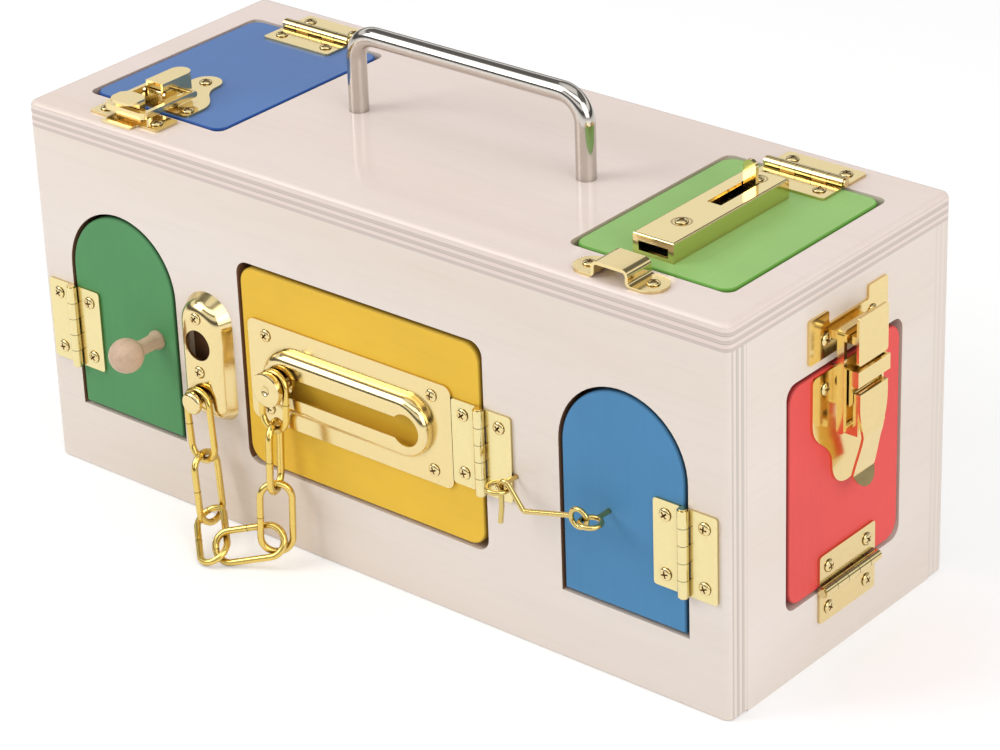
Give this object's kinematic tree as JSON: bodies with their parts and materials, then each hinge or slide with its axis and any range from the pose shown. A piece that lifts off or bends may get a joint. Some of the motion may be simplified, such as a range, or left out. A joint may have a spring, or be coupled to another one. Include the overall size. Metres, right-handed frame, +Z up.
{
  "type": "wooden lock box",
  "caption": "Pale plywood activity box with small coloured doors and lids, each shut by its own brass lock, and a carrying handle on top.",
  "frame": {"origin": "middle of the footprint, on the surface that the box stands on", "axes": "+X along the box to the right end with the red door, +Y to the back, +Z up"},
  "size_m": [0.4037, 0.1937, 0.2215],
  "materials": {
    "whitewashed_ply": "pale whitewashed plywood, satin",
    "green_paint": "green satin paint on plywood",
    "yellow_paint": "yellow satin paint on plywood",
    "blue_paint": "blue satin paint on plywood",
    "red_paint": "red satin paint on plywood",
    "blue_lid_paint": "violet-blue satin paint on plywood",
    "green_lid_paint": "light green satin paint on plywood",
    "brass": "polished brass plating",
    "chrome": "polished chrome plating",
    "steel": "plain zinc-plated steel",
    "bare_wood": "bare turned hardwood, satin"
  },
  "bodies": {
    "carcass": {"bottom_panel": "whitewashed_ply", "front_panel": "whitewashed_ply", "back_panel": "whitewashed_ply", "left_end_panel": "whitewashed_ply", "right_end_panel": "whitewashed_ply", "top_panel": "whitewashed_ply", "door_stops": "whitewashed_ply", "carry_handle": "chrome", "handle_bolts": "steel", "hinge_pins": "brass", "frame_screws": "brass", "chain_anchor_plate": "brass", "chain_anchor_rivet": "brass", "hook_catch_eye": "brass", "bolt_keeper": "brass", "top_latch_keeper": "brass", "side_latch_keeper": "brass", "green_door_hinge_frame_leaf": "brass", "yellow_door_hinge_frame_leaf": "brass", "blue_door_hinge_frame_leaf": "brass", "red_door_hinge_frame_leaf": "brass", "blue_lid_hinge_frame_leaf": "brass", "green_lid_hinge_frame_leaf": "brass"},
    "green_door": {"green_door_panel": "green_paint", "green_door_hinge_door_leaf": "brass", "green_door_screws": "brass", "wooden_knob": "bare_wood", "knob_screw": "steel"},
    "yellow_door": {"yellow_door_panel": "yellow_paint", "yellow_door_hinge_door_leaf": "brass", "yellow_door_screws": "brass", "chain_slot_plate": "brass"},
    "blue_door": {"blue_door_panel": "blue_paint", "blue_door_hinge_door_leaf": "brass", "blue_door_screws": "brass", "hook_pivot_eye": "brass"},
    "red_door": {"red_door_panel": "red_paint", "red_door_hinge_door_leaf": "brass", "red_door_screws": "brass", "side_latch_base": "brass"},
    "blue_lid": {"blue_lid_panel": "blue_lid_paint", "blue_lid_hinge_door_leaf": "brass", "blue_lid_screws": "brass", "top_latch_base": "brass"},
    "green_lid": {"green_lid_panel": "green_lid_paint", "green_lid_hinge_door_leaf": "brass", "green_lid_screws": "brass", "bolt_case": "brass"},
    "bolt": {"sliding_bolt": "brass"},
    "hook": {"door_hook": "brass"},
    "side_lever": {"side_latch_lever": "brass"},
    "side_loop": {"side_latch_loop": "brass"},
    "top_lever": {"top_latch_lever": "brass"},
    "top_loop": {"top_latch_loop": "brass"},
    "knob_slider": {"chain_knob": "brass"},
    "chain_left": {"chain_left_links": "brass"},
    "chain_floor": {"chain_floor_links": "brass"},
    "chain_right": {"chain_right_links": "brass"}
  },
  "joints": [
    {"name": "green_door_swing", "type": "hinge", "parent": "carcass", "child": "green_door", "pos_m": [-0.1741, -0.0805, 0.074], "axis": [0, 0, -1], "range_deg": [0, 165]},
    {"name": "yellow_door_swing", "type": "hinge", "parent": "carcass", "child": "yellow_door", "pos_m": [0.0686, -0.0805, 0.086], "axis": [0, 0, 1], "range_deg": [0, 105]},
    {"name": "blue_door_swing", "type": "hinge", "parent": "carcass", "child": "blue_door", "pos_m": [0.1741, -0.0805, 0.074], "axis": [0, 0, 1], "range_deg": [0, 165]},
    {"name": "red_door_swing", "type": "hinge", "parent": "carcass", "child": "red_door", "pos_m": [0.1975, 0.003, 0.0335], "axis": [0, 1, 0], "range_deg": [0, 90]},
    {"name": "blue_lid_swing", "type": "hinge", "parent": "carcass", "child": "blue_lid", "pos_m": [-0.138, 0.0541, 0.1825], "axis": [-1, 0, 0], "range_deg": [0, 120]},
    {"name": "green_lid_swing", "type": "hinge", "parent": "carcass", "child": "green_lid", "pos_m": [0.138, 0.0541, 0.1825], "axis": [-1, 0, 0], "range_deg": [0, 120]},
    {"name": "bolt_slide", "type": "slide", "parent": "green_lid", "child": "bolt", "axis": [0, -1, 0], "range_m": [0, 0.024]},
    {"name": "hook_lift", "type": "hinge", "parent": "blue_door", "child": "hook", "pos_m": [0.1302, -0.09, 0.079], "axis": [0, 1, 0], "range_deg": [0, 100]},
    {"name": "side_lever_swing", "type": "hinge", "parent": "red_door", "child": "side_lever", "pos_m": [0.2025, 0.002, 0.122], "axis": [0, -1, 0], "range_deg": [0, 90]},
    {"name": "side_loop_swing", "type": "hinge", "parent": "side_lever", "child": "side_loop", "pos_m": [0.2025, 0.002, 0.11], "axis": [0, -1, 0], "range_deg": [-75, 0]},
    {"name": "top_lever_swing", "type": "hinge", "parent": "blue_lid", "child": "top_lever", "pos_m": [-0.1404, -0.047, 0.186], "axis": [1, 0, 0], "range_deg": [0, 90]},
    {"name": "top_loop_swing", "type": "hinge", "parent": "top_lever", "child": "top_loop", "pos_m": [-0.1404, -0.0395, 0.186], "axis": [1, 0, 0], "range_deg": [-75, 0]},
    {"name": "knob_slide", "type": "slide", "parent": "yellow_door", "child": "knob_slider", "axis": [1, 0, 0], "range_m": [0, 0.073]},
    {"name": "chain_right_swing", "type": "hinge", "parent": "knob_slider", "child": "chain_right", "pos_m": [-0.042, -0.0876, 0.086], "axis": [0, -1, 0], "range_deg": [-36, 0]},
    {"name": "chain_left_swing", "type": "hinge", "parent": "carcass", "child": "chain_left", "pos_m": [-0.089, -0.0886, 0.065], "axis": [0, -1, 0], "range_deg": [0, 32]},
    {"name": "chain_floor_swing", "type": "hinge", "parent": "chain_left", "child": "chain_floor", "pos_m": [-0.0801, -0.0935, 0.0086], "axis": [0, -1, 0], "range_deg": [-32, 0]}
  ],
  "couplings": [
    {"joint": "side_loop_swing", "follows": "side_lever_swing", "ratio": -0.82},
    {"joint": "top_loop_swing", "follows": "top_lever_swing", "ratio": -0.82},
    {"joint": "chain_right_swing", "follows": "knob_slide", "rad_per_m": -8.484},
    {"joint": "chain_left_swing", "follows": "knob_slide", "rad_per_m": 7.5476},
    {"joint": "chain_floor_swing", "follows": "knob_slide", "rad_per_m": -7.5476}
  ]
}
